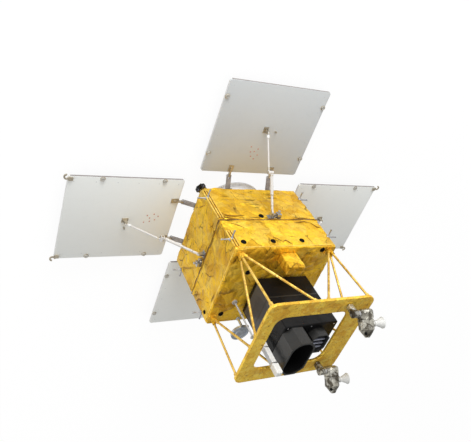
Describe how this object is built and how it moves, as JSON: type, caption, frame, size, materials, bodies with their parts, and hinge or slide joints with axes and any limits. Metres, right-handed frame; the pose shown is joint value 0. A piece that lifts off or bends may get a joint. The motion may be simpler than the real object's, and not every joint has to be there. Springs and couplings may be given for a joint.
{
  "type": "earth observation satellite",
  "caption": "Boxy satellite in crinkled gold foil, with solar panels folded open round its foot on elbowed struts, a truss and frame ahead, a hooded camera and steered horn antennas.",
  "frame": {"origin": "centre of the launch ring's lower face, on the floor it stands on", "axes": "+Z from the launch ring to the payload, +X east along the wider body side, +Y north"},
  "size_m": [3.344, 2.866, 1.8822],
  "materials": {
    "gold_blanket": "crinkled gold foil blanket",
    "frame_blanket": "gold foil over a flat bar frame",
    "equipment": "plain metal",
    "ring_metal": "machined metal",
    "hinge_metal": "dark anodised metal",
    "bright_metal": "bright machined metal",
    "sensor_black": "matt black",
    "camera_black": "black foil and paint",
    "mast_grey": "pale grey paint",
    "white_radome": "smooth white",
    "patch_metal": "satin metal",
    "silver_blanket": "crinkled silver foil blanket",
    "panel_skin": "pale grey panel skin",
    "solar_cell": "dark blue cells under thin cover sheets",
    "fitting_metal": "satin metal fittings",
    "strut_white": "white paint"
  },
  "bodies": {
    "bus": {"rear_deck": "gold_blanket", "mid_deck": "gold_blanket", "payload_deck": "gold_blanket", "rear_wall_east": "gold_blanket", "rear_wall_north": "gold_blanket", "rear_wall_west": "gold_blanket", "rear_wall_south": "gold_blanket", "front_wall_east": "gold_blanket", "front_wall_north": "gold_blanket", "front_wall_west": "gold_blanket", "front_wall_south": "gold_blanket", "equipment_stack": "equipment", "launch_ring": "ring_metal", "hinge_forks": "hinge_metal", "wall_feet": "bright_metal", "hold_downs": "bright_metal", "sun_sensors": "sensor_black", "front_frame": "frame_blanket", "truss_nodes": "gold_blanket", "truss_tubes": "gold_blanket", "truss_caps": "gold_blanket", "camera_feet": "bright_metal", "camera_housing": "camera_black", "camera_cover": "camera_black", "camera_hood": "camera_black", "finder_hood": "camera_black", "electronics_box": "gold_blanket", "mast": "mast_grey", "mast_head": "white_radome", "patch_antenna": "patch_metal", "gimbal_bases": "silver_blanket"},
    "panel_east": {"panel_east": "panel_skin", "cells_east": "solar_cell", "panel_east_fittings": "fitting_metal"},
    "strut_east_lower": {"strut_east_lower": "strut_white"},
    "strut_east_upper": {"strut_east_upper": "strut_white"},
    "panel_north": {"panel_north": "panel_skin", "cells_north": "solar_cell", "panel_north_fittings": "fitting_metal"},
    "strut_north_lower": {"strut_north_lower": "strut_white"},
    "strut_north_upper": {"strut_north_upper": "strut_white"},
    "panel_west": {"panel_west": "panel_skin", "cells_west": "solar_cell", "panel_west_fittings": "fitting_metal"},
    "strut_west_lower": {"strut_west_lower": "strut_white"},
    "strut_west_upper": {"strut_west_upper": "strut_white"},
    "panel_south": {"panel_south": "panel_skin", "cells_south": "solar_cell", "panel_south_fittings": "fitting_metal"},
    "strut_south_lower": {"strut_south_lower": "strut_white"},
    "strut_south_upper": {"strut_south_upper": "strut_white"},
    "gimbal_north_arm": {"gimbal_north_arm": "silver_blanket"},
    "gimbal_north_head": {"gimbal_north_head": "white_radome"},
    "gimbal_south_arm": {"gimbal_south_arm": "silver_blanket"},
    "gimbal_south_head": {"gimbal_south_head": "white_radome"}
  },
  "joints": [
    {"name": "panel_east_fold", "type": "hinge", "parent": "bus", "child": "panel_east", "pos_m": [0.588, 0, 0.121], "axis": [0, -1, 0], "range_deg": [0, 90]},
    {"name": "strut_east_lower_turn", "type": "hinge", "parent": "bus", "child": "strut_east_lower", "pos_m": [0.552, 0, 0.611], "axis": [0, -1, 0], "range_deg": [-49.25, 0]},
    {"name": "strut_east_upper_turn", "type": "hinge", "parent": "panel_east", "child": "strut_east_upper", "pos_m": [1.078, 0, 0.157], "axis": [0, -1, 0], "range_deg": [0, 40.85]},
    {"name": "panel_north_fold", "type": "hinge", "parent": "bus", "child": "panel_north", "pos_m": [0, 0.518, 0.121], "axis": [1, 0, 0], "range_deg": [0, 90]},
    {"name": "strut_north_lower_turn", "type": "hinge", "parent": "bus", "child": "strut_north_lower", "pos_m": [0, 0.482, 0.611], "axis": [1, 0, 0], "range_deg": [-49.25, 0]},
    {"name": "strut_north_upper_turn", "type": "hinge", "parent": "panel_north", "child": "strut_north_upper", "pos_m": [0, 1.008, 0.157], "axis": [1, 0, 0], "range_deg": [0, 40.85]},
    {"name": "panel_west_fold", "type": "hinge", "parent": "bus", "child": "panel_west", "pos_m": [-0.588, 0, 0.121], "axis": [0, 1, 0], "range_deg": [0, 90]},
    {"name": "strut_west_lower_turn", "type": "hinge", "parent": "bus", "child": "strut_west_lower", "pos_m": [-0.552, 0, 0.611], "axis": [0, 1, 0], "range_deg": [-49.25, 0]},
    {"name": "strut_west_upper_turn", "type": "hinge", "parent": "panel_west", "child": "strut_west_upper", "pos_m": [-1.078, 0, 0.157], "axis": [0, 1, 0], "range_deg": [0, 40.85]},
    {"name": "panel_south_fold", "type": "hinge", "parent": "bus", "child": "panel_south", "pos_m": [0, -0.518, 0.121], "axis": [-1, 0, 0], "range_deg": [0, 90]},
    {"name": "strut_south_lower_turn", "type": "hinge", "parent": "bus", "child": "strut_south_lower", "pos_m": [0, -0.482, 0.611], "axis": [-1, 0, 0], "range_deg": [-49.25, 0]},
    {"name": "strut_south_upper_turn", "type": "hinge", "parent": "panel_south", "child": "strut_south_upper", "pos_m": [0, -1.008, 0.157], "axis": [-1, 0, 0], "range_deg": [0, 40.85]},
    {"name": "gimbal_north_lean", "type": "hinge", "parent": "bus", "child": "gimbal_north_arm", "pos_m": [0.353, 0.368, 1.726], "axis": [1, 0, 0], "range_deg": [-62, 24]},
    {"name": "gimbal_north_roll", "type": "hinge", "parent": "gimbal_north_arm", "child": "gimbal_north_head", "pos_m": [0.353, 0.368, 1.726], "axis": [0, -0.6691, 0.7431], "range_deg": [-44, 136]},
    {"name": "gimbal_south_lean", "type": "hinge", "parent": "bus", "child": "gimbal_south_arm", "pos_m": [0.38, -0.34, 1.726], "axis": [1, 0, 0], "range_deg": [-62, 24]},
    {"name": "gimbal_south_roll", "type": "hinge", "parent": "gimbal_south_arm", "child": "gimbal_south_head", "pos_m": [0.38, -0.34, 1.726], "axis": [0, -0.6691, 0.7431], "range_deg": [-44, 136]}
  ],
  "couplings": [
    {"joint": "strut_east_lower_turn", "follows": "panel_east_fold", "ratio": -0.54669},
    {"joint": "strut_east_upper_turn", "follows": "panel_east_fold", "ratio": 0.45331},
    {"joint": "strut_north_lower_turn", "follows": "panel_north_fold", "ratio": -0.54669},
    {"joint": "strut_north_upper_turn", "follows": "panel_north_fold", "ratio": 0.45331},
    {"joint": "strut_west_lower_turn", "follows": "panel_west_fold", "ratio": -0.54669},
    {"joint": "strut_west_upper_turn", "follows": "panel_west_fold", "ratio": 0.45331},
    {"joint": "strut_south_lower_turn", "follows": "panel_south_fold", "ratio": -0.54669},
    {"joint": "strut_south_upper_turn", "follows": "panel_south_fold", "ratio": 0.45331}
  ]
}
